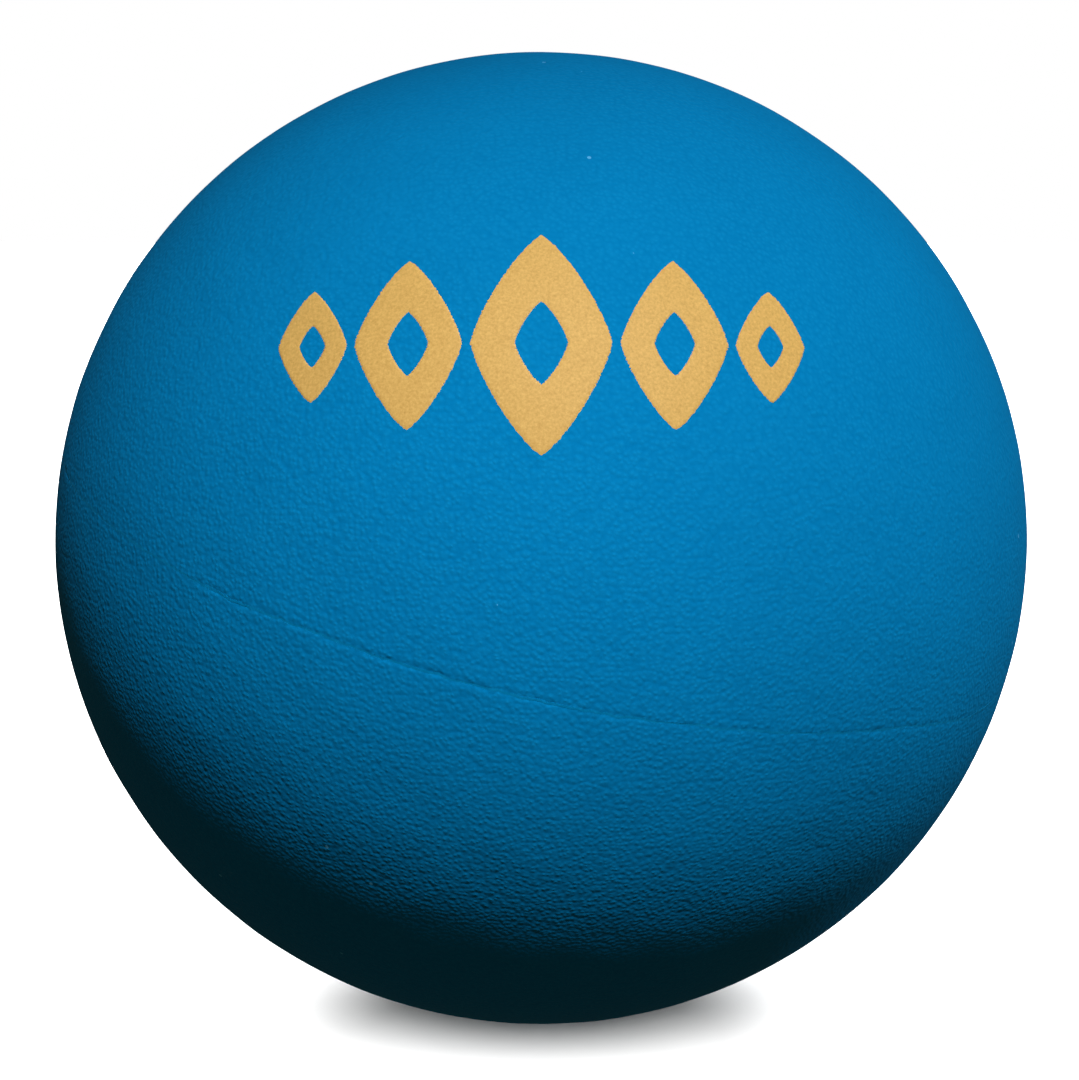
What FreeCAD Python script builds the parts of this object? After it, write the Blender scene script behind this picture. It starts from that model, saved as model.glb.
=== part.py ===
"""Court ball of blue rubber: two moulded half shells cemented edge to edge, with a gold printed mark.

Frame: millimetres, origin at the ball's centre, +Z up as the ball lies, -Y the printed side, +X to its right.
The half shells and the cement are drawn in the seam's own frame, where the seam lies in the plane z = 0,
and are then turned together by SEAM_TURN, because the ball lies with its seam a little off level.
Each piece is one node. Pieces that touch meet face to face and share no volume.
"""
import FreeCAD
import Part

import math
import os

from FreeCAD import Placement, Rotation, Vector

# Driving dimensions, in millimetres and degrees.
BALL_DIAMETER = 57.15        # 2 1/4 in, the size that the game's rules set
WALL = 3.7                   # rubber wall, which brings the ball to its rule weight of about 40 g
CEMENT_FILM = 0.12           # cured cement between the two ground edges
EDGE_ROUND = 0.10            # rounding of each shell's outer edge, which leaves the fine seam groove
BEAD_HALF_WIDTH = 0.9        # cement squeezed out inside the ball, each side of the seam
BEAD_HEIGHT = 0.35           # how far that bead stands into the hollow

SEAM_LEAN = 13.5             # the seam plane's normal leans this far to +X
SEAM_NOD = 7.7               # and this far towards the printed side

INK = 0.04                   # thickness of the printed film
MARK_RISE = 9.5              # the mark's centre above the ball's centre, across the print stroke
STROKE_FALL = 8.0            # the print stroke runs down this much as it comes in from -Y
MARK_GAP = 0.35              # between neighbouring lozenges, tip to tip
LOZENGE_SLENDER = 1.6        # height of a lozenge over its width
SIDE_SWELL = 0.16            # how far a side's middle is pushed out, over its distance from the centre
CENTRE_WIDTH = 7.0
INNER_WIDTH = 5.4
OUTER_WIDTH = 3.6
OPENING_SHARE = 0.36         # the opening's size over its lozenge's
TIP_ROUND = 0.14             # rounding of a lozenge's corners, for each millimetre of its half width

# Worked out from them.
OUTER_RADIUS = BALL_DIAMETER / 2
INNER_RADIUS = OUTER_RADIUS - WALL
HALF_FILM = CEMENT_FILM / 2
ROUND_CENTRE_Z = HALF_FILM + EDGE_ROUND
ROUND_CENTRE_R = math.sqrt((OUTER_RADIUS - EDGE_ROUND) ** 2 - ROUND_CENTRE_Z ** 2)
BEAD_ANGLE = BEAD_HALF_WIDTH / INNER_RADIUS
Z_AXIS = Vector(0, 0, 1)
SEAM_TURN = Rotation(Vector(0, 1, 0), SEAM_LEAN).multiply(Rotation(Vector(1, 0, 0), SEAM_NOD))


def rz(radius, height):
    """A point of a profile, at that distance from the seam frame's axis and that height."""
    return Vector(radius, 0, height)


def on_circle(radius, angle):
    """A point of a profile on the circle about the ball's centre, at that angle above the seam."""
    return rz(radius * math.cos(angle), radius * math.sin(angle))


def line(a, b):
    return Part.LineSegment(a, b).toShape()


def arc(a, middle, b):
    return Part.Arc(a, middle, b).toShape()


def turned_solid(edges):
    """The solid that a closed profile sweeps once round the seam frame's axis, laid as the ball lies."""
    solid = Part.Face(Part.Wire(edges)).revolve(Vector(), Z_AXIS, 360)
    solid.Placement = Placement(Vector(), SEAM_TURN)
    return Part.Solid(solid.Shells[0])


def half_shell(side):
    """One moulded half: outer sphere, rounded outer edge, flat ground edge, inner sphere. side is 1 or -1."""
    def at(point):
        return Vector(point.x, 0, side * point.z)

    round_centre = rz(ROUND_CENTRE_R, ROUND_CENTRE_Z)
    sphere_end = round_centre * (OUTER_RADIUS / (OUTER_RADIUS - EDGE_ROUND))
    outward = math.atan2(ROUND_CENTRE_Z, ROUND_CENTRE_R)
    round_middle_angle = (outward - math.pi / 2) / 2
    round_middle = round_centre + rz(EDGE_ROUND * math.cos(round_middle_angle),
                                     EDGE_ROUND * math.sin(round_middle_angle))
    ground_outer = rz(ROUND_CENTRE_R, HALF_FILM)
    ground_inner = rz(math.sqrt(INNER_RADIUS ** 2 - HALF_FILM ** 2), HALF_FILM)
    pole_outer = rz(0, OUTER_RADIUS)
    pole_inner = rz(0, INNER_RADIUS)
    return turned_solid([
        line(at(pole_inner), at(pole_outer)),
        arc(at(pole_outer), at(on_circle(OUTER_RADIUS, math.pi / 4)), at(sphere_end)),
        arc(at(sphere_end), at(round_middle), at(ground_outer)),
        line(at(ground_outer), at(ground_inner)),
        arc(at(ground_inner), at(on_circle(INNER_RADIUS, math.pi / 4)), at(pole_inner)),
    ])


def seam_cement():
    """The cured cement: a flat film between the ground edges, and the bead squeezed out along its inside."""
    film_outer_up = rz(ROUND_CENTRE_R, HALF_FILM)
    film_outer_down = rz(ROUND_CENTRE_R, -HALF_FILM)
    film_angle = math.asin(HALF_FILM / INNER_RADIUS)
    film_inner_up = on_circle(INNER_RADIUS, film_angle)
    film_inner_down = on_circle(INNER_RADIUS, -film_angle)
    middle_angle = (BEAD_ANGLE + film_angle) / 2
    bead_up = on_circle(INNER_RADIUS, BEAD_ANGLE)
    bead_down = on_circle(INNER_RADIUS, -BEAD_ANGLE)
    return turned_solid([
        line(film_outer_down, film_outer_up),
        line(film_outer_up, film_inner_up),
        arc(film_inner_up, on_circle(INNER_RADIUS, middle_angle), bead_up),
        arc(bead_up, rz(INNER_RADIUS - BEAD_HEIGHT, 0), bead_down),
        arc(bead_down, on_circle(INNER_RADIUS, -middle_angle), film_inner_down),
        line(film_inner_down, film_outer_down),
    ])


def lozenge_prism(centre_x, half_width):
    """A lozenge with swollen sides and rounded corners, swept along the print stroke to the ball's middle."""
    half_height = half_width * LOZENGE_SLENDER
    centre = Vector(centre_x, 0, MARK_RISE)
    reaches = [Vector(half_width, 0, 0), Vector(0, 0, half_height),
               Vector(-half_width, 0, 0), Vector(0, 0, -half_height)]
    sides = []
    for reach, next_reach in zip(reaches, reaches[1:] + reaches[:1]):
        side_middle = (reach + next_reach) / 2 * (1 + SIDE_SWELL)
        sides.append(arc(centre + reach, centre + side_middle, centre + next_reach))
    prism = Part.Face(Part.Wire(sides)).extrude(Vector(0, -2 * OUTER_RADIUS, 0))
    corner_edges = [edge for edge in prism.Edges if edge.Length > 1.9 * OUTER_RADIUS]
    prism = prism.makeFillet(TIP_ROUND * half_width, corner_edges)
    prism.Placement = Placement(Vector(), Rotation(Vector(1, 0, 0), -STROKE_FALL))
    return prism


def printed_lozenge(centre_x, width, film):
    """One printed lozenge: a ring of ink round a lozenge-shaped opening."""
    outline = lozenge_prism(centre_x, width / 2)
    opening = lozenge_prism(centre_x, width / 2 * OPENING_SHARE)
    return film.common(outline.cut(opening)).Solids[0]


def printed_mark():
    """The five lozenges of the mark, by name, from the film of ink that wraps the ball."""
    film = Part.makeSphere(OUTER_RADIUS + INK).cut(Part.makeSphere(OUTER_RADIUS))
    inner_x = CENTRE_WIDTH / 2 + MARK_GAP + INNER_WIDTH / 2
    outer_x = inner_x + INNER_WIDTH / 2 + MARK_GAP + OUTER_WIDTH / 2
    places = {
        "printed_lozenge_centre": (0, CENTRE_WIDTH),
        "printed_lozenge_inner_left": (-inner_x, INNER_WIDTH),
        "printed_lozenge_inner_right": (inner_x, INNER_WIDTH),
        "printed_lozenge_outer_left": (-outer_x, OUTER_WIDTH),
        "printed_lozenge_outer_right": (outer_x, OUTER_WIDTH),
    }
    return {name: printed_lozenge(x, width, film) for name, (x, width) in places.items()}


def main():
    nodes = {
        "upper_half_shell": half_shell(1),
        "lower_half_shell": half_shell(-1),
        "seam_cement": seam_cement(),
        **printed_mark(),
    }
    os.makedirs("parts", exist_ok=True)
    for name, shape in nodes.items():
        shape.exportStep(f"parts/{name}.step")
        print(f"{name}: {len(shape.Solids)} solid(s), {shape.Volume:.2f} mm3, valid {shape.isValid()}")


main()
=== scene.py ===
# %% [markdown]
# # A blue rubber court ball
#
# The ball is hollow. It is moulded as two half shells of blue rubber, whose flat edges are ground and
# cemented together, and a gold mark is printed on one side. This lesson builds each of those pieces as a
# surface worked out with numpy, gives it a procedural finish, and sets it in a small white studio.
# Everything is in metres, in the frame of the CAD model, which is loaded first and never changed.

import bpy
import numpy as np
from mathutils import Matrix, Vector


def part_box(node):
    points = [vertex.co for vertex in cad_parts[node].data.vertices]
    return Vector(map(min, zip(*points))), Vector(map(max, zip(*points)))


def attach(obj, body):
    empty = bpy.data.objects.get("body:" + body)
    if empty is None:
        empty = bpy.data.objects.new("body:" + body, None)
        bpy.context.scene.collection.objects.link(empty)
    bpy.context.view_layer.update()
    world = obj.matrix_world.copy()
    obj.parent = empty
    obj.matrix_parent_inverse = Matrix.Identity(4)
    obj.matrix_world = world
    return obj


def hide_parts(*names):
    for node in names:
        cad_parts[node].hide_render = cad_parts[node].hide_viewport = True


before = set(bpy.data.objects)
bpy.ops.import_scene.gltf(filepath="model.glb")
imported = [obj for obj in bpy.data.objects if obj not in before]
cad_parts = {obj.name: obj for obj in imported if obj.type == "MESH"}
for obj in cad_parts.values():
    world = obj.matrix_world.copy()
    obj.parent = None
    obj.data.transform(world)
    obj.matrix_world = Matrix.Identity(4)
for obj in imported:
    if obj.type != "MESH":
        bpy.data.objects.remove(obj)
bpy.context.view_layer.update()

print("CAD nodes:", sorted(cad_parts))

# %% [markdown]
# ## The ball's measures
#
# All the pieces hang on a few sizes of the real ball: its radius, its wall, and the film of cement between
# the ground edges. The seam is a great circle, but the ball lies with it a little off level, so the shells
# and the cement are worked out in the seam's own frame, where the seam is flat, and then turned as one.
# Turning points with one matrix is simpler than working out a tilted seam, and the mesh keeps its place.

# %% Sizes, and the turn from the seam's frame to the ball's
MM = 0.001
BALL_RADIUS = 57.15 * MM / 2
WALL = 3.7 * MM
INNER_RADIUS = BALL_RADIUS - WALL
HALF_FILM = 0.06 * MM            # half the thickness of the cement between the ground edges
SEAM_LEAN = np.radians(13.5)     # the seam's normal leans this far to +X
SEAM_NOD = np.radians(7.7)       # and this far towards the printed side
SEAM_TURN = np.array(Matrix.Rotation(SEAM_LEAN, 3, "Y") @ Matrix.Rotation(SEAM_NOD, 3, "X"))

CAD_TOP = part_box("upper_half_shell")[1][2]
print(f"radius {BALL_RADIUS / MM:.3f} mm, CAD top {CAD_TOP / MM:.3f} mm above the centre")

# %% [markdown]
# ## Putting a surface into the scene
#
# Every piece below ends as an array of points and arrays of faces.

# %% A helper that makes a piece
BALL_PIECES = bpy.data.collections.new("ball_pieces")
CORNER = np.radians(50)          # faces that meet at more than this stay a sharp corner


def add_piece(name, points, faces, slot, *nodes):
    """A mesh object from points in metres and face index arrays, smooth but for its real corners."""
    mesh = bpy.data.meshes.new(name)
    mesh.from_pydata(points.tolist(), [], [face for block in faces for face in block.tolist()])
    mesh.polygons.foreach_set("use_smooth", np.ones(len(mesh.polygons), dtype=bool))
    mesh.set_sharp_from_angle(angle=CORNER)
    piece = bpy.data.objects.new(name, mesh)
    bpy.context.scene.collection.objects.link(piece)
    BALL_PIECES.objects.link(piece)
    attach(piece, "root")
    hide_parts(*nodes)
    triangles = sum(len(polygon.vertices) - 2 for polygon in mesh.polygons)
    print(f"{name}: {len(points)} points, {triangles} triangles")
    return piece


print(f"edges sharper than {np.degrees(CORNER):.0f} degrees stay corners")

# %% [markdown]
# ## Ripples round the seam
#
# A bonded seam is never a perfect line. It wanders a little sideways, its groove is deeper here and nearly
# closed there, and the rubber beside it swells where the press squeezed it. What the eye follows, the slow
# stray and how open the groove is, is given in two short tables of values at angles round the seam, joined
# by straight lines. The fine roughness on top is a smooth random height that closes on itself after
# one turn. A sum of sines with whole numbers of waves does exactly that, and a fixed seed gives the same
# ball on every run.

# %% Closed random ripples
SEAM_LENGTH = 2 * np.pi * BALL_RADIUS


def ripple(angle, shortest, longest, seed):
    """Sines with whole numbers of waves round the seam, each with a random phase, added up.

    shortest and longest are wavelengths in metres. Longer waves are higher, by the root of their length,
    and the sum is scaled so that it mostly stays between -1 and 1. Each seed gives a different ripple.
    """
    draw = np.random.default_rng(seed)
    waves = np.arange(round(SEAM_LENGTH / longest), round(SEAM_LENGTH / shortest) + 1)
    heights = 1 / np.sqrt(waves)
    phases = draw.uniform(0, 2 * np.pi, waves.size)
    table_angle = np.linspace(0, 2 * np.pi, 8193)
    table = (heights[:, None] * np.sin(waves[:, None] * table_angle + phases[:, None])).sum(axis=0)
    table /= 1.5 * table.std()
    return np.interp(angle, table_angle, table, period=2 * np.pi)


print(f"seam {SEAM_LENGTH / MM:.1f} mm round")

# %% Where the seam strays, opens and is nicked
# The slow stray towards +Z, in hundredths of a millimetre, at some angles round the seam.
STRAY_AT = np.radians([-135, -122, -114, -110, -105, -88, -80, -76, -70, -58, -50, -46, -43, -37, -31,
                       -22, 20, 70, 110, 160])
STRAY = 0.01 * MM * np.array([0, -14, -4, -4, -12, -12, -8, -2, 5, 10, 20, 24, 19, 2, -17,
                              0, 12, -15, 10, -12])
QUICK_STRAY = 0.04 * MM          # the small quick stray on top of the slow one
# How open the groove is at some angles, in hundredths: 0 is closed and 100 is clearly open.
OPEN_AT = np.radians([-150, -128, -125, -120, -118, -107, -105, -99.5, -97.5, -90.3, -89.2, -86.4,
                      -85.5, -82.3, -81, -77, -75.5, -70.5, -68.5, -66, -64, -57, -54, -47,
                      -34, -30, 0, 40, 85, 130, 170])
OPENNESS = 0.01 * np.array([10, 0, 85, 80, 65, 65, 85, 90, 80, 90, 110, 105,
                            35, 40, 65, 55, 25, 35, 65, 60, 30, 30, 55, 50,
                            30, 0, 50, 10, 70, 20, 60])
LEAST_DEPTH = 0.001 * MM         # of the groove where it is closed
OPEN_DEPTH = 0.027 * MM          # and what an openness of 100 adds
NICKS = np.radians([-98.6, -50.0, 17.0, 95.0, 163.0])       # where an edge is nicked
NICK_WIDTHS = np.array([0.22, 0.30, 0.20, 0.22, 0.18]) * MM
NICK_DEPTH = 0.022 * MM


def seam_wander(angle):
    """How far the seam strays from its great circle, in metres: the slow stray and a quick small one."""
    slow = np.interp(angle, STRAY_AT, STRAY, period=2 * np.pi)
    return slow + QUICK_STRAY * ripple(angle, 0.6 * MM, 5 * MM, 12)


def nick_share(angle):
    """From 0 to 1: short bell curves of the angle, one at each place where the seam's edge is nicked."""
    away = (angle[..., None] - NICKS + np.pi) % (2 * np.pi) - np.pi
    return np.exp(-(away * BALL_RADIUS / NICK_WIDTHS) ** 2).sum(axis=-1)


def groove_depth(angle):
    """Depth of the groove over the cement, in metres: the least, the roughened openness's, and the nicks'."""
    openness = np.interp(angle, OPEN_AT, OPENNESS, period=2 * np.pi)
    rough = np.clip(1 + 0.4 * ripple(angle, 0.5 * MM, 2 * MM, 22), 0.1, 2)
    return LEAST_DEPTH + OPEN_DEPTH * openness * rough + NICK_DEPTH * nick_share(angle)


sample = np.linspace(0, 2 * np.pi, 2000)
print(f"groove {groove_depth(sample).min() / MM:.3f} to {groove_depth(sample).max() / MM:.3f} mm deep")

# %% [markdown]
# ## The moulding's unevenness
#
# Rubber that cools in a mould never comes out as a perfect sphere. Over a few millimetres it swells and
# sinks by a hundredth of a millimetre, too little to measure by eye but enough to make the shading look
# like rubber and not like a computed ball. The printed ink lies on the same rubber, so it uses the same
# function: plane waves in random directions through space, which need no seam or pole of their own.

# %% Unevenness as a function of place
UNEVENNESS = 0.007 * MM          # its usual height
PLANE_WAVES = 30


def unevenness(points):
    """Height in metres at each point: plane waves, 2.5 to 8 mm long, in random directions, added up.

    A sine's mean square is a half, so the sum is divided by the root of half the number of waves.
    """
    draw = np.random.default_rng(5)
    directions = draw.normal(size=(PLANE_WAVES, 3))
    directions /= np.linalg.norm(directions, axis=1)[:, None]
    lengths = draw.uniform(2.5, 8, PLANE_WAVES) * MM
    phases = draw.uniform(0, 2 * np.pi, PLANE_WAVES)
    waves = 2 * np.pi * directions / lengths[:, None]
    return UNEVENNESS * np.sin(points @ waves.T + phases).sum(axis=-1) / np.sqrt(PLANE_WAVES / 2)


def lift_along_radius(points):
    """The same points, moved along their radius by the moulding's unevenness."""
    radius = np.linalg.norm(points, axis=-1, keepdims=True)
    return points * (1 + unevenness(points)[..., None] / radius)


print(f"unevenness at the top of the ball {unevenness(np.array([[0, 0, BALL_RADIUS]]))[0] / MM:.4f} mm")

# %% [markdown]
# ## The half shells
#
# Each half is a bowl of rubber: an outer surface, an inner one, and the flat ground edge between them. A
# globe's lines of latitude and longitude would crowd at the pole and pinch the shading there. Here a square
# grid is bent onto the bowl instead: its middle is the pole, and the square's rim is the seam. The rows are
# crowded towards the seam, because the only fine shape is there: the rounded edge that makes the groove,
# and the low swelling beside it.

# %% A square grid bent onto a disc
def disc_grid(rows):
    """Polar places of a square grid's points when the square is bent into a disc.

    rows cells lie between the middle and each side. share is the larger of the two distances from the
    middle, from 0 to 1. The angle is that of the side's middle, plus an eighth of a turn times the smaller
    distance over the larger.
    """
    steps = np.linspace(-1, 1, 2 * rows + 1)
    a, b = np.meshgrid(steps, steps, indexing="ij")
    share = np.maximum(abs(a), abs(b))
    safe_a = np.where(a == 0, 1, a)
    safe_b = np.where(b == 0, 1, b)
    beside_a = np.where(a < 0, np.pi, 0) + np.pi / 4 * b / safe_a
    beside_b = np.where(b < 0, 1.5 * np.pi, 0.5 * np.pi) - np.pi / 4 * a / safe_b
    return share, np.where(abs(a) >= abs(b), beside_a, beside_b) % (2 * np.pi)


def grid_quads(rows):
    """Index rows of a disc grid's quads, turning left seen from above the disc."""
    side = 2 * rows + 1
    index = np.arange(side * side).reshape(side, side)
    corners = [index[:-1, :-1], index[1:, :-1], index[1:, 1:], index[:-1, 1:]]
    return np.stack(corners, axis=-1).reshape(-1, 4)


def rim_walk(rows):
    """Indices of a disc grid's rim points, in order of angle, once round."""
    side = 2 * rows + 1
    index = np.arange(side * side).reshape(side, side)
    sides = [index[-1, :-1], index[:0:-1, -1], index[0, :0:-1], index[:-1, 0]]
    return np.concatenate(sides)


print("the rim of a grid of one row:", rim_walk(1))

# %% The shell's two surfaces
OUTER_ROWS = 132                 # grid rows from the pole to the seam
INNER_ROWS = OUTER_ROWS // 2
ROW_CROWDING = 1.5               # rows lie at this power of their distance from the seam
WANDER_REACH = 1.2 * MM          # how far from the seam its wander still moves the rows
GROOVE_WIDTH = 0.10 * MM         # from the edge to where the groove's side is nearly up
GROOVE_WIDTH_VARIES = 0.025 * MM
SWELLING_PLACE = 0.30 * MM       # from the seam to the crest of the swelling beside it
SWELLING_WIDTH = 0.14 * MM
SWELLING_HEIGHT = 0.002 * MM
SWELLING_VARIES = 0.004 * MM


def outer_points(side):
    """Outer surface of one half, in the seam's frame: side is 1 for the upper half and -1 for the lower.

    A point's height above the seam along the sphere is the quarter turn times a power of its share from the
    rim. Its radius is the ball's, less a bell curve of that height for the groove, plus one for the swelling.
    """
    share, angle = disc_grid(OUTER_ROWS)
    reach = BALL_RADIUS * np.pi / 2 - HALF_FILM
    from_edge = reach * (1 - share) ** ROW_CROWDING
    groove_width = GROOVE_WIDTH + GROOVE_WIDTH_VARIES * ripple(angle, 0.6 * MM, 6 * MM, 30 + side)
    swelling = SWELLING_HEIGHT + SWELLING_VARIES * ripple(angle, 0.5 * MM, 3 * MM, 40 + side)
    radius = (BALL_RADIUS - groove_depth(angle) * np.exp(-(from_edge / groove_width) ** 2)
              + swelling * np.exp(-((from_edge - SWELLING_PLACE) / SWELLING_WIDTH) ** 2))
    stray = seam_wander(angle) * np.exp(-from_edge / WANDER_REACH)
    latitude = (side * (from_edge + HALF_FILM) + stray) / BALL_RADIUS
    flat = radius * np.cos(latitude)
    points = np.stack([flat * np.cos(angle), flat * np.sin(angle), radius * np.sin(latitude)], axis=-1)
    return points.reshape(-1, 3)


def inner_points(side):
    """Inner surface of one half, in the seam's frame: a plain hemisphere with evenly spaced rows."""
    share, angle = disc_grid(INNER_ROWS)
    edge = np.arcsin(HALF_FILM / INNER_RADIUS)
    latitude = edge + (np.pi / 2 - edge) * (1 - share)
    flat = INNER_RADIUS * np.cos(latitude)
    height = side * INNER_RADIUS * np.sin(latitude)
    return np.stack([flat * np.cos(angle), flat * np.sin(angle), height], axis=-1).reshape(-1, 3)


print(f"outer grid {len(outer_points(1))} points, inner grid {len(inner_points(1))} points")

# %% The ground edge, and the two shells
def ground_edge(first_inner):
    """Triangles of the ground edge: three for each pair of outer rim steps, meeting one inner rim step."""
    outer = rim_walk(OUTER_ROWS)
    inner = rim_walk(INNER_ROWS) + first_inner
    start, middle, end = outer[0::2], outer[1::2], np.roll(outer, -2)[0::2]
    near, far = inner, np.roll(inner, -1)
    fans = [(middle, start, near), (middle, near, far), (end, middle, far)]
    return np.concatenate([np.stack(fan, axis=-1) for fan in fans])


def half_shell(name, side, node):
    """One moulded half as a closed piece."""
    outer = lift_along_radius(outer_points(side) @ SEAM_TURN.T)
    inner = inner_points(side) @ SEAM_TURN.T
    faces = [grid_quads(OUTER_ROWS), grid_quads(INNER_ROWS)[:, ::-1] + len(outer), ground_edge(len(outer))]
    if side < 0:
        faces = [block[:, ::-1] for block in faces]
    return add_piece(name, np.concatenate([outer, inner]), faces, "blue_rubber", node)


UPPER_SHELL = half_shell("upper_shell", 1, "upper_half_shell")
LOWER_SHELL = half_shell("lower_shell", -1, "lower_half_shell")

# %% [markdown]
# ## The cement
#
# The cement is a thin flat ring between the ground edges, with a bead along its inside where the press
# squeezed it into the hollow. From outside only its edge shows, at the bottom of the groove, a little lower
# in one place than in another. It is a closed profile carried round the seam: every point of the profile is
# a radius and a height, and both may change with the angle.

# %% The profile carried round the seam
BEAD_HALF_WIDTH = 0.9 * MM
BEAD_HEIGHT = 0.35 * MM
FILM_DROP = 0.0015 * MM          # how far the film's edge lies below the groove's sides
FILM_DROP_VARIES = 0.002 * MM
RING_STEPS = 8 * OUTER_ROWS      # as many as the shells' rims have, so the film follows them
BEAD_STEPS = 10


def seam_cement_piece():
    """The ring of cement: the film's edge follows the groove's floor, and the bead is a cosine arch."""
    angle = np.linspace(0, 2 * np.pi, RING_STEPS, endpoint=False)
    stray = seam_wander(angle)
    drop = FILM_DROP + FILM_DROP_VARIES * ripple(angle, 0.5 * MM, 5 * MM, 51)
    floor = BALL_RADIUS - groove_depth(angle) - drop
    across = np.linspace(1, -1, BEAD_STEPS)
    bead_uneven = 1 + 0.25 * ripple(angle, 2 * MM, 20 * MM, 52)
    bead_width = BEAD_HALF_WIDTH * (1 + 0.12 * ripple(angle, 3 * MM, 15 * MM, 53))
    bead_drop = BEAD_HEIGHT * bead_uneven[:, None] * np.cos(across * np.pi / 2)
    bead_sag = INNER_RADIUS * (1 - np.cos(bead_width / INNER_RADIUS))[:, None] * across ** 2
    radius = np.column_stack([floor, floor, np.full(RING_STEPS, INNER_RADIUS),
                              INNER_RADIUS - bead_drop - bead_sag, np.full(RING_STEPS, INNER_RADIUS)])
    height = np.column_stack([stray - HALF_FILM, stray + HALF_FILM, np.full(RING_STEPS, HALF_FILM),
                              bead_width[:, None] * across, np.full(RING_STEPS, -HALF_FILM)])
    points = np.stack([radius * np.cos(angle)[:, None], radius * np.sin(angle)[:, None], height], axis=-1)
    steps = radius.shape[1]
    index = np.arange(RING_STEPS * steps).reshape(RING_STEPS, steps)
    onward = np.roll(index, -1, axis=0)
    corners = [index, onward, np.roll(onward, -1, axis=1), np.roll(index, -1, axis=1)]
    quads = np.stack(corners, axis=-1).reshape(-1, 4)
    points = points.reshape(-1, 3) @ SEAM_TURN.T
    return add_piece("cement_ring", points, [quads], "seam_cement", "seam_cement")


CEMENT = seam_cement_piece()

# %% [markdown]
# ## The printed mark
#
# The mark is a row of five lozenges, pad printed in gold ink. Each is a ring of ink round a lozenge-shaped
# opening. A lozenge with slightly swollen sides is the curve where the two distances from its centre, each
# over its half size and raised to one power, add up to one, so its edge has a formula at every angle. The
# ring is a grid: one parameter goes round, the other across from the opening to the outline. The print
# stroke comes in nearly level, so the flat drawing is carried back along the stroke onto the sphere.

# %% The outline of a lozenge
MARK_RISE = 9.5 * MM             # the mark's centre above the ball's centre, across the print stroke
STROKE_FALL = np.radians(8)      # the stroke runs down this much as it comes in from -Y
PRINT_TURN = np.array(Matrix.Rotation(-STROKE_FALL, 3, "X"))
LOZENGE_SLENDER = 1.6            # height over width
SIDE_POWER = 1.27                # 1 gives straight sides and 2 an ellipse
OPENING_SHARE = 0.36             # the opening's width over the lozenge's
MARK_GAP = 0.35 * MM
CENTRE_WIDTH = 7.0 * MM
INNER_WIDTH = 5.4 * MM
OUTER_WIDTH = 3.6 * MM


def lozenge_edge(turn, half_width):
    """Distance from a lozenge's centre to its edge at each angle: (|cos|/w)^p + (|sin|/h)^p, to the -1/p."""
    half_height = half_width * LOZENGE_SLENDER
    total = (abs(np.cos(turn)) / half_width) ** SIDE_POWER + (abs(np.sin(turn)) / half_height) ** SIDE_POWER
    return total ** (-1 / SIDE_POWER)


print(f"centre lozenge {CENTRE_WIDTH / MM:.1f} by {CENTRE_WIDTH * LOZENGE_SLENDER / MM:.1f} mm")

# %% A ring of ink, laid on the rubber
INK = 0.030 * MM                 # how far the dry film stands above the rubber
INK_BITE = 0.012 * MM            # how far its edge dips into the grain
INK_UNDER = 0.022 * MM           # how far its underside lies below the rubber's surface
CROWN_POWER = 10                 # the film is level, and falls off only near its two edges
EDGE_RAG = 0.022 * MM            # how far the printed edge strays in and out
ACROSS_STEPS = 24
POINTS_PER_MM = 24


def on_rubber(x, rise, lift):
    """Carries a flat drawing back along the print stroke onto the ball, lift above its sphere."""
    radius = BALL_RADIUS + lift
    flat = np.stack([x, -np.sqrt(radius ** 2 - x ** 2 - rise ** 2), rise], axis=-1)
    return lift_along_radius(flat @ PRINT_TURN.T)


def edge_rag(turn, seed):
    """A small closed random stray of a printed edge, in metres: sines of 12 to 160 waves, added up."""
    draw = np.random.default_rng(seed)
    waves = np.arange(12, 161)
    phases = draw.uniform(0, 2 * np.pi, waves.size)
    total = np.sin(turn[:, None] * waves + phases).sum(axis=1)
    return EDGE_RAG * total / total.std() / 1.5


def ink_lozenge(name, centre_x, width, seed):
    """One printed lozenge as a closed piece: a top grid, a bottom grid, and the two thin edges between."""
    around = int(width * (1 + LOZENGE_SLENDER) * 2 / MM * POINTS_PER_MM / 4) * 4
    turn = np.linspace(0, 2 * np.pi, around, endpoint=False)
    outline = lozenge_edge(turn, width / 2) + edge_rag(turn, seed)
    opening = lozenge_edge(turn, width / 2 * OPENING_SHARE) + edge_rag(turn, seed + 50)
    across = np.linspace(0, 1, ACROSS_STEPS)
    reach = opening[:, None] + (outline - opening)[:, None] * across
    x = centre_x + reach * np.cos(turn)[:, None]
    rise = MARK_RISE + reach * np.sin(turn)[:, None]
    off_middle = abs(2 * across - 1)
    crown = INK * (1 - off_middle ** CROWN_POWER) - INK_BITE * (off_middle == 1)
    top = on_rubber(x, rise, np.broadcast_to(crown, x.shape))
    bottom = on_rubber(x, rise, np.full(x.shape, -INK_UNDER))
    points = np.concatenate([top.reshape(-1, 3), bottom.reshape(-1, 3)])
    index = np.arange(around * ACROSS_STEPS).reshape(around, ACROSS_STEPS)
    onward = np.roll(index, -1, axis=0)
    grid = np.stack([index[:, :-1], index[:, 1:], onward[:, 1:], onward[:, :-1]], axis=-1).reshape(-1, 4)
    under, under_onward = index + index.size, onward + index.size
    outer_edge = np.stack([index[:, -1], under[:, -1], under_onward[:, -1], onward[:, -1]], axis=-1)
    inner_edge = np.stack([onward[:, 0], under_onward[:, 0], under[:, 0], index[:, 0]], axis=-1)
    faces = [grid, grid[:, ::-1] + index.size, outer_edge, inner_edge]
    return add_piece(name.replace("printed", "ink"), points, faces, "gold_ink", name)


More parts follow.
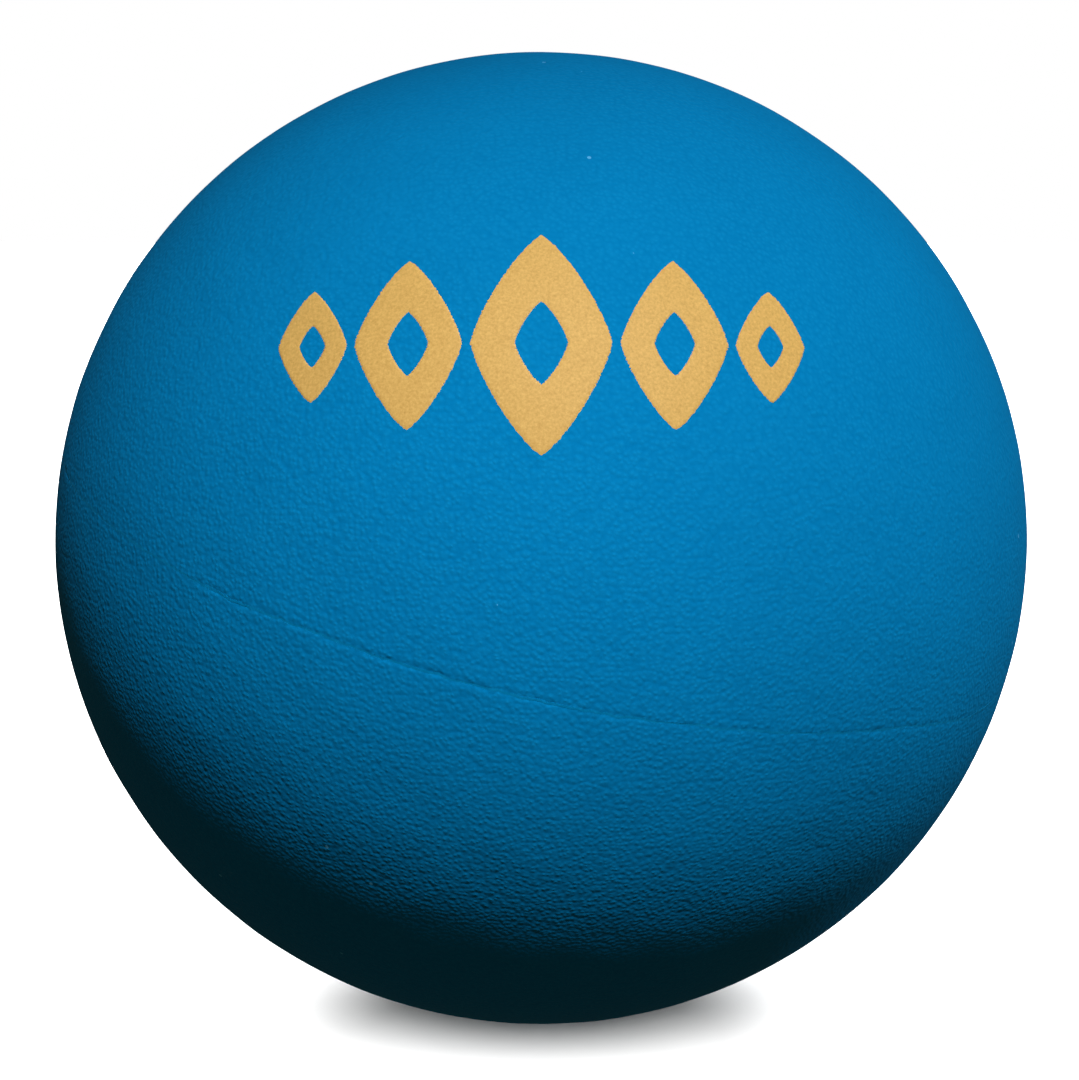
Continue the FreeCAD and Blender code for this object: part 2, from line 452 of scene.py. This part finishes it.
inner_x = CENTRE_WIDTH / 2 + MARK_GAP + INNER_WIDTH / 2
outer_x = inner_x + INNER_WIDTH / 2 + MARK_GAP + OUTER_WIDTH / 2
MARK_PLACES = {
    "printed_lozenge_centre": (0, CENTRE_WIDTH),
    "printed_lozenge_inner_left": (-inner_x, INNER_WIDTH),
    "printed_lozenge_inner_right": (inner_x, INNER_WIDTH),
    "printed_lozenge_outer_left": (-outer_x, OUTER_WIDTH),
    "printed_lozenge_outer_right": (outer_x, OUTER_WIDTH),
}
INK_SEED = 61
INK_PIECES = [ink_lozenge(name, x, width, INK_SEED + number)
              for number, (name, (x, width)) in enumerate(MARK_PLACES.items())]

# %% [markdown]
# ## Shader nodes with less typing
#
# The finishes below are node trees. A few small helpers keep them readable: they add a node and set its
# values, do a sum, mix two colours, and make a node group with named sockets. A group here only puts out
# heights, masks and colours. The Principled shader itself stays in each material.

# %% Helpers for node trees
def add_node(tree, kind, inputs=None, **settings):
    """A node of that kind, with its settings, its unlinked input values, and its links from other sockets."""
    node = tree.nodes.new(kind)
    for name, value in settings.items():
        setattr(node, name, value)
    for name, value in (inputs or {}).items():
        if isinstance(value, bpy.types.NodeSocket):
            tree.links.new(value, node.inputs[name])
        else:
            node.inputs[name].default_value = value
    return node


def maths(tree, operation, first, second=0.0, third=0.0):
    """A Math node's result."""
    return add_node(tree, "ShaderNodeMath", {0: first, 1: second, 2: third}, operation=operation).outputs[0]


def mix_colour(tree, share, first, second):
    """A Mix node's colour: share of the way from the first colour to the second."""
    mix = add_node(tree, "ShaderNodeMix", {"Factor": share, "A": first, "B": second}, data_type="RGBA")
    return mix.outputs["Result"]


def new_group(name, inputs, outputs):
    """An empty node group with float inputs and their defaults, and outputs of the given socket types."""
    group = bpy.data.node_groups.new(name, "ShaderNodeTree")
    interface = group.interface
    for label, value in inputs.items():
        socket = interface.new_socket(name=label, in_out="INPUT", socket_type="NodeSocketFloat")
        socket.default_value = value
    for label, kind in outputs.items():
        interface.new_socket(name=label, in_out="OUTPUT", socket_type=kind)
    return group, group.nodes.new("NodeGroupInput").outputs, group.nodes.new("NodeGroupOutput").inputs


print("helpers:", [helper.__name__ for helper in (add_node, maths, mix_colour, new_group)])

# %% [markdown]
# ## The moulded grain
#
# The mould is etched, and the rubber takes a fine leathery grain from it: rounded pebbles about a quarter
# of a millimetre across, run together into short wavy wrinkles. It is far too fine for the mesh, so it is a
# bump. Cells of a Voronoi texture give the pebbles, a noise of the same size runs them together, and a slower
# noise bends both so that no row is straight. The same group serves rubber and ink with different values,
# because the ink fills the grain without hiding it.

# %% The grain group
GRAIN_GROUP, given, result = new_group(
    "moulded_grain", {"Pebble size": 0.26 * MM, "Bend": 0.16 * MM, "Run together": 0.25},
    {"Height": "NodeSocketFloat"})
place = add_node(GRAIN_GROUP, "ShaderNodeTexCoord").outputs["Object"]
per_metre = maths(GRAIN_GROUP, "DIVIDE", 1.0, given["Pebble size"])
bend_scale = maths(GRAIN_GROUP, "MULTIPLY", per_metre, 0.45)
bend_noise = add_node(GRAIN_GROUP, "ShaderNodeTexNoise",
                      {"Vector": place, "Scale": bend_scale, "Detail": 1.0})
centred = add_node(GRAIN_GROUP, "ShaderNodeVectorMath",
                   {0: bend_noise.outputs["Color"], 1: (0.5, 0.5, 0.5)}, operation="SUBTRACT").outputs[0]
strayed = add_node(GRAIN_GROUP, "ShaderNodeVectorMath",
                   {0: centred, "Scale": given["Bend"]}, operation="SCALE").outputs[0]
bent = add_node(GRAIN_GROUP, "ShaderNodeVectorMath", {0: place, 1: strayed}, operation="ADD").outputs[0]
pebbles = add_node(GRAIN_GROUP, "ShaderNodeTexVoronoi",
                   {"Vector": bent, "Scale": per_metre, "Smoothness": 0.7, "Randomness": 0.85},
                   feature="SMOOTH_F1")
wrinkle_scale = maths(GRAIN_GROUP, "MULTIPLY", per_metre, 1.15)
wrinkles = add_node(GRAIN_GROUP, "ShaderNodeTexNoise",
                    {"Vector": bent, "Scale": wrinkle_scale, "Detail": 0.5, "Roughness": 0.55})
pebble_height = maths(GRAIN_GROUP, "SUBTRACT", 1.0, pebbles.outputs["Distance"])
blend = add_node(GRAIN_GROUP, "ShaderNodeMix",
                 {"Factor": given["Run together"], "A": pebble_height, "B": wrinkles.outputs["Fac"]})
GRAIN_GROUP.links.new(blend.outputs["Result"], result["Height"])
print("grain group:", len(GRAIN_GROUP.nodes), "nodes")

# %% [markdown]
# ## Slow mottle and specks of dust
#
# Two more effects belong to the whole ball. The pigment is not perfectly even, so the blue drifts by a few
# parts in a hundred over some millimetres. And a ball that has been handled carries a few specks of pale
# dust. The specks are cells of a Voronoi texture: each cell draws a random number, only the few highest
# get a speck, and the distance to the cell's middle gives its round shape.

# %% The mottle group and the speck group
MOTTLE_GROUP, given, result = new_group("slow_mottle", {"Patch size": 6 * MM}, {"Drift": "NodeSocketFloat"})
place = add_node(MOTTLE_GROUP, "ShaderNodeTexCoord").outputs["Object"]
patches = add_node(MOTTLE_GROUP, "ShaderNodeTexNoise",
                   {"Vector": place, "Scale": maths(MOTTLE_GROUP, "DIVIDE", 1.0, given["Patch size"]),
                    "Detail": 3.0, "Roughness": 0.6})
MOTTLE_GROUP.links.new(patches.outputs["Fac"], result["Drift"])

SPECK_GROUP, given, result = new_group(
    "dust_specks", {"Spacing": 2.2 * MM, "Speck size": 0.11 * MM, "Share": 0.12}, {"Mask": "NodeSocketFloat"})
place = add_node(SPECK_GROUP, "ShaderNodeTexCoord").outputs["Object"]
cells = add_node(SPECK_GROUP, "ShaderNodeTexVoronoi",
                 {"Vector": place, "Scale": maths(SPECK_GROUP, "DIVIDE", 1.0, given["Spacing"])})
draw = add_node(SPECK_GROUP, "ShaderNodeSeparateColor", {"Color": cells.outputs["Color"]}).outputs["Red"]
chosen = maths(SPECK_GROUP, "LESS_THAN", draw, given["Share"])
size = maths(SPECK_GROUP, "DIVIDE", given["Speck size"], given["Spacing"])
inside = maths(SPECK_GROUP, "LESS_THAN", cells.outputs["Distance"], size)
SPECK_GROUP.links.new(maths(SPECK_GROUP, "MULTIPLY", chosen, inside), result["Mask"])
print("mottle and speck groups made")

# %% [markdown]
# ## The finishes
#
# Matte rubber sends back almost only its own colour, so its highlight is weak and broad. What makes it read
# as rubber is the grain, seen as light and shade where the light grazes the ball. The same height that makes
# the bump also paints light into the colour: painted shade in the hollows of the grain and a painted
# highlight on its tops, so the grain still shows where the light falls straight on. The cement is the same
# rubber dissolved, a little darker. The ink is a matte film full of fine metal flakes, which speckle it.

# %% Blue rubber
MOTTLE_SHARE = 0.35              # how much of the way between the two shades the slow mottle drifts
# The grain's height paints light into the colour: painted shade in its hollows and painted light on its tops.
PAINTED_GRAIN_SHADING_SHARE = 0.5                 # and how much of it the tops of the grain add
EVEN_SHARE = 0.5 - MOTTLE_SHARE / 2 - PAINTED_GRAIN_SHADING_SHARE / 4       # what keeps the mean about halfway
# The highest tops of the grain go towards a paler colour: a painted highlight, standing in for glints.
PAINTED_GLINT_SHARE = 0.4                # how far the highest tops go towards the painted glint colour
PAINTED_GLINT_COLOUR = (0.008, 0.295, 0.62, 1)
DUST_COLOUR = (0.10, 0.46, 0.85, 1)
SHEEN_TINT = (0.02, 0.5, 1.0, 1)


def rubber(name, light, dark, grain_depth, roughness):
    """Matte rubber between two shades of its colour, with the moulded grain, painted shade and highlight on
    the grain, and a few specks of dust.
    """
    material = bpy.data.materials.new(name)
    material.use_nodes = True
    tree = material.node_tree
    shader = tree.nodes["Principled BSDF"]
    mottle = add_node(tree, "ShaderNodeGroup", node_tree=MOTTLE_GROUP)
    specks = add_node(tree, "ShaderNodeGroup", node_tree=SPECK_GROUP)
    grain = add_node(tree, "ShaderNodeGroup", node_tree=GRAIN_GROUP)
    tops = maths(tree, "POWER", grain.outputs["Height"], 2.0)
    drift = maths(tree, "MULTIPLY_ADD", mottle.outputs["Drift"], MOTTLE_SHARE, EVEN_SHARE)
    # Painted shade in the grain's hollows and painted light on its tops, added to the mottle's drift.
    painted_grain_shading = maths(tree, "MULTIPLY_ADD", tops, PAINTED_GRAIN_SHADING_SHARE, drift)
    shades = mix_colour(tree, painted_grain_shading, dark, light)
    # A painted highlight: the highest tops of the grain go paler, as glints would make them.
    with_painted_glints = mix_colour(tree, maths(tree, "MULTIPLY", tops, PAINTED_GLINT_SHARE), shades, PAINTED_GLINT_COLOUR)
    dusty = mix_colour(tree, specks.outputs["Mask"], with_painted_glints, DUST_COLOUR)
    tree.links.new(dusty, shader.inputs["Base Color"])
    shader.inputs["Roughness"].default_value = roughness
    shader.inputs["Specular IOR Level"].default_value = 0.12
    shader.inputs["Specular Tint"].default_value = SHEEN_TINT
    bump = add_node(tree, "ShaderNodeBump", {"Height": grain.outputs["Height"], "Strength": 1.0,
                                             "Distance": grain_depth})
    tree.links.new(bump.outputs["Normal"], shader.inputs["Normal"])
    return material


RUBBER = rubber("blue_rubber", (0.001, 0.246, 0.592, 1), (0.0, 0.167, 0.43, 1), 0.052 * MM, 0.75)
# The cement's finish carries the same painted shade and highlight on its grain.
CEMENT_FINISH = rubber("seam_cement", (0.0005, 0.250, 0.57, 1), (0.0005, 0.165, 0.37, 1), 0.02 * MM, 0.6)
for shell in (UPPER_SHELL, LOWER_SHELL):
    shell.data.materials.append(RUBBER)
CEMENT.data.materials.append(CEMENT_FINISH)
print("rubber finishes:", RUBBER.name, CEMENT_FINISH.name)

# %% Gold ink
FLAKE_SIZE = 0.15 * MM
FILLED_GRAIN_DEPTH = 0.012 * MM  # what the ink leaves of the grain's depth


def gold_ink(name):
    """Matte gold ink: flakes between a darker and a lighter gold, over the softened grain."""
    material = bpy.data.materials.new(name)
    material.use_nodes = True
    tree = material.node_tree
    shader = tree.nodes["Principled BSDF"]
    place = add_node(tree, "ShaderNodeTexCoord").outputs["Object"]
    flakes = add_node(tree, "ShaderNodeTexNoise", {"Vector": place, "Scale": 1 / FLAKE_SIZE, "Detail": 2.0,
                                                   "Roughness": 0.7})
    shades = add_node(tree, "ShaderNodeValToRGB", {"Fac": flakes.outputs["Fac"]})
    ramp = shades.color_ramp
    ramp.elements[0].position, ramp.elements[0].color = 0.25, (0.61, 0.352, 0.088, 1)
    ramp.elements[1].position, ramp.elements[1].color = 0.75, (0.82, 0.515, 0.150, 1)
    tree.links.new(shades.outputs["Color"], shader.inputs["Base Color"])
    shader.inputs["Roughness"].default_value = 0.6
    shader.inputs["Specular IOR Level"].default_value = 0.2
    grain = add_node(tree, "ShaderNodeGroup", {"Run together": 0.7}, node_tree=GRAIN_GROUP)
    bump = add_node(tree, "ShaderNodeBump", {"Height": grain.outputs["Height"], "Strength": 1.0,
                                             "Distance": FILLED_GRAIN_DEPTH})
    tree.links.new(bump.outputs["Normal"], shader.inputs["Normal"])
    return material


INK_FINISH = gold_ink("gold_ink")
for piece in INK_PIECES:
    piece.data.materials.append(INK_FINISH)
print("ink finish on", len(INK_PIECES), "pieces")

# %% [markdown]
# ## The camera
#
# The camera stands five radii from the ball's centre, a little above it, with a lens that fills the frame.
# Close and slightly wide is how a small ball is usually shown, and it shows a little less than half of the
# sphere. The aim is a touch off the centre, so no lens shift is needed.

# %% Place and aim the camera
CAMERA_RISE = np.radians(8)
CAMERA_DISTANCE = 5 * BALL_RADIUS
FOCAL_OVER_WIDTH = 2.20667       # focal length over the width of the frame
SENSOR = 36.0
AIM_LEFT, AIM_DOWN = 0.09 * MM, 0.12 * MM                         # the aim, off the ball's centre
RIGHT = Vector((1, 0, 0))
BACK = Vector((0, -np.cos(CAMERA_RISE), np.sin(CAMERA_RISE)))     # from the ball towards the camera
UP = BACK.cross(RIGHT)

camera_data = bpy.data.cameras.new("camera")
camera_data.sensor_fit = "HORIZONTAL"
camera_data.sensor_width = SENSOR
camera_data.lens = SENSOR * FOCAL_OVER_WIDTH
camera_data.clip_start = 0.01
camera = bpy.data.objects.new("camera", camera_data)
bpy.context.scene.collection.objects.link(camera)
stand = BACK * CAMERA_DISTANCE - RIGHT * AIM_LEFT - UP * AIM_DOWN
camera.matrix_world = Matrix.Translation(stand) @ Matrix((RIGHT, UP, BACK)).transposed().to_4x4()
bpy.context.scene.camera = camera
print("camera at", [round(value, 4) for value in camera.location], "lens", round(camera_data.lens, 1), "mm")

# %% [markdown]
# ## The studio
#
# The floor and the background are plain white, and the ball is dark underneath, so in the studio the floor
# was lit apart from the ball and cast next to nothing back onto it. Light linking does the same here: two
# wide lamps, before and behind the ball, fall on the floor only, where the ball still shades them, and the
# lamps for the ball fall on the ball only: a broad key from above, a rim light from the right, and one from
# behind so that the far side is lit too. The floor is hidden from the ball's own bounced light.

# %% Floor
FLOOR_HALF = 3.0                 # metres from the ball to each side of the floor


def stage_floor():
    """A large white square under the ball: four corners at the height of its lowest point."""
    corners = FLOOR_HALF * np.array([[-1, -1], [1, -1], [1, 1], [-1, 1]])
    points = np.column_stack([corners, np.full(4, -BALL_RADIUS)])
    mesh = bpy.data.meshes.new("floor")
    mesh.from_pydata(points.tolist(), [], [(0, 1, 2, 3)])
    floor = bpy.data.objects.new("floor", mesh)
    bpy.context.scene.collection.objects.link(floor)
    material = bpy.data.materials.new("white_floor")
    material.use_nodes = True
    shader = material.node_tree.nodes["Principled BSDF"]
    shader.inputs["Base Color"].default_value = (0.8, 0.8, 0.8, 1)
    shader.inputs["Roughness"].default_value = 1.0
    shader.inputs["Specular IOR Level"].default_value = 0.0
    mesh.materials.append(material)
    floor.visible_diffuse = False
    floor.visible_glossy = False
    return floor


FLOOR = stage_floor()
FLOOR_ONLY = bpy.data.collections.new("floor_only")
FLOOR_ONLY.objects.link(FLOOR)
print("floor at", round(-BALL_RADIUS, 5))

# %% Background
world = bpy.data.worlds.new("white_room")
bpy.context.scene.world = world
world.use_nodes = True
tree = world.node_tree
tree.nodes.clear()
seen = add_node(tree, "ShaderNodeBackground", {"Color": (1, 1, 1, 1), "Strength": 1.0})
felt = add_node(tree, "ShaderNodeBackground", {"Color": (1, 0.95, 0.6, 1), "Strength": 0.05})
by_camera = add_node(tree, "ShaderNodeLightPath").outputs["Is Camera Ray"]
mixed = add_node(tree, "ShaderNodeMixShader", {"Fac": by_camera, 1: felt.outputs[0], 2: seen.outputs[0]})
add_node(tree, "ShaderNodeOutputWorld", {"Surface": mixed.outputs[0]})
print("background:", [node.name for node in tree.nodes])

# %% Lamps
def toward(azimuth, elevation):
    """Unit direction from the ball, turned by azimuth to the camera's right and raised by elevation."""
    a, e = np.radians(azimuth), np.radians(elevation)
    return RIGHT * (np.sin(a) * np.cos(e)) + UP * np.sin(e) + BACK * (np.cos(a) * np.cos(e))


def add_lamp(name, kind, place, aim, receivers, **settings):
    """A lamp that shines from place to aim and lights only the receivers, unseen by the camera."""
    data = bpy.data.lights.new(name, kind)
    for setting, value in settings.items():
        setattr(data, setting, value)
    lamp = bpy.data.objects.new(name, data)
    bpy.context.scene.collection.objects.link(lamp)
    lamp.matrix_world = Matrix.Translation(place) @ (place - aim).to_track_quat("Z", "Y").to_matrix().to_4x4()
    lamp.light_linking.receiver_collection = receivers
    lamp.visible_camera = False
    return lamp


# The key is a spot whose soft cone is aimed past the ball, so its light falls off across the ball.
KEY_PLACE = toward(12, 37.5) * 0.79
KEY_SIDE = UP.cross(KEY_PLACE).normalized()
KEY_TOP = KEY_PLACE.cross(KEY_SIDE).normalized()
KEY_AIM = KEY_SIDE * (-23.2 * MM) + KEY_TOP * (-56 * MM)
add_lamp("key", "SPOT", KEY_PLACE, KEY_AIM, BALL_PIECES, energy=88.0, shadow_soft_size=0.0805,
         spot_size=np.radians(10.0), spot_blend=1.0)
# Disc lamps: name, place, watts and width in metres. The one behind stands just above the floor.
DISC_LAMPS = (("rim_right", toward(113, 17.5) * 0.6, 1.2, 0.15), ("back", toward(184, 13) * 1.2, 9.0, 0.2))
for name, place, watts, width in DISC_LAMPS:
    lamp = add_lamp(name, "AREA", place, Vector(), BALL_PIECES, energy=watts, shape="DISK", size=width)
    lamp.visible_glossy = False
# The floor's lamps: name, before (-1) or behind (1) the ball, rise in degrees, strength, spread in degrees.
FLOOR_WASHES = (("floor_wash_front", -1, 32, 10.2, 40), ("floor_wash_back", 1, 30, 10.9, 33))
for name, side, rise, strength, spread in FLOOR_WASHES:
    place = Vector((0, side * np.cos(np.radians(rise)), np.sin(np.radians(rise))))
    add_lamp(name, "SUN", place, Vector(), FLOOR_ONLY, energy=strength, angle=np.radians(spread))

# %% [markdown]
# ## The look of the picture, and the end
#
# The plain sRGB view keeps whites white and the blue as deep as it is.

# %% View transform and look
bpy.context.scene.view_settings.view_transform = "Standard"
bpy.context.scene.view_settings.look = "None"
